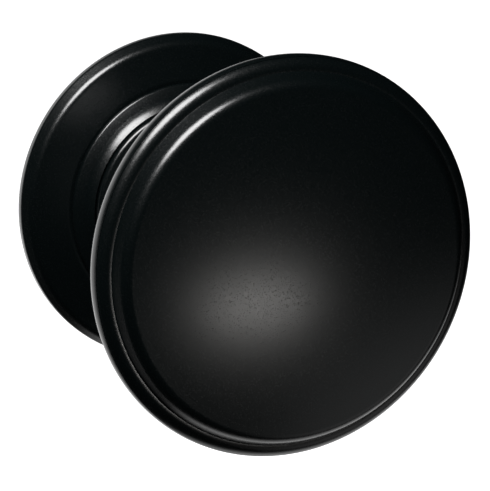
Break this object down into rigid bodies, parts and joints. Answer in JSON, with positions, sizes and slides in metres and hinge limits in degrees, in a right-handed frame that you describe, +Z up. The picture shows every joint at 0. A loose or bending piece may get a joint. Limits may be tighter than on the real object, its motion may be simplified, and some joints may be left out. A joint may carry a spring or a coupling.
{
  "type": "turning door knob on a round rose",
  "caption": "Round matt black door knob with a shallow domed face, rolled rim and waisted neck, sprung on a slim clip-on rose, with square spindle.",
  "frame": {"origin": "on the knob's axis, in the plane of the door's face that the rose sits on", "axes": "-Y points out of the door towards the user along the knob's axis, +Y points into the door, +Z is up, +X is to the right as the user faces the knob"},
  "size_m": [0.061, 0.081, 0.061],
  "materials": {
    "black_coat": "matt black powder coat with a very fine grain and a soft sheen",
    "steel": "bright zinc-plated turned steel",
    "cast_zinc": null,
    "nylon": "natural nylon",
    "spring_steel": "oil-tempered spring steel",
    "black_oxide": "black oxide"
  },
  "bodies": {
    "rose_base": {"mounting_plate": "cast_zinc", "bearing_bush": "nylon", "wave_washer": "spring_steel", "return_spring": "spring_steel", "cover_snap_ring": "spring_steel", "fixing_screw_1": "steel", "fixing_screw_2": "steel", "fixing_screw_3": "steel", "fixing_screw_4": "steel"},
    "knob": {"face_cap": "black_coat", "rear_bell": "black_coat", "shank": "steel", "hub_plate": "steel", "hub_nut": "steel", "grub_screw": "black_oxide", "spindle": "steel", "spring_driver": "cast_zinc", "retaining_ring": "spring_steel", "thrust_washer": "steel"},
    "cover": {"rose_cover": "black_coat", "rose_collar": "black_coat"}
  },
  "joints": [
    {"name": "knob_turn", "type": "hinge", "parent": "rose_base", "child": "knob", "pos_m": [0, 0, 0], "axis": [0, 1, 0], "range_deg": [-60, 60], "stiffness_Nm_per_rad": 0.35, "deforming": ["return_spring"]},
    {"name": "cover_slide", "type": "slide", "parent": "rose_base", "child": "cover", "axis": [0, -1, 0], "range_m": [0, 0.02]}
  ]
}
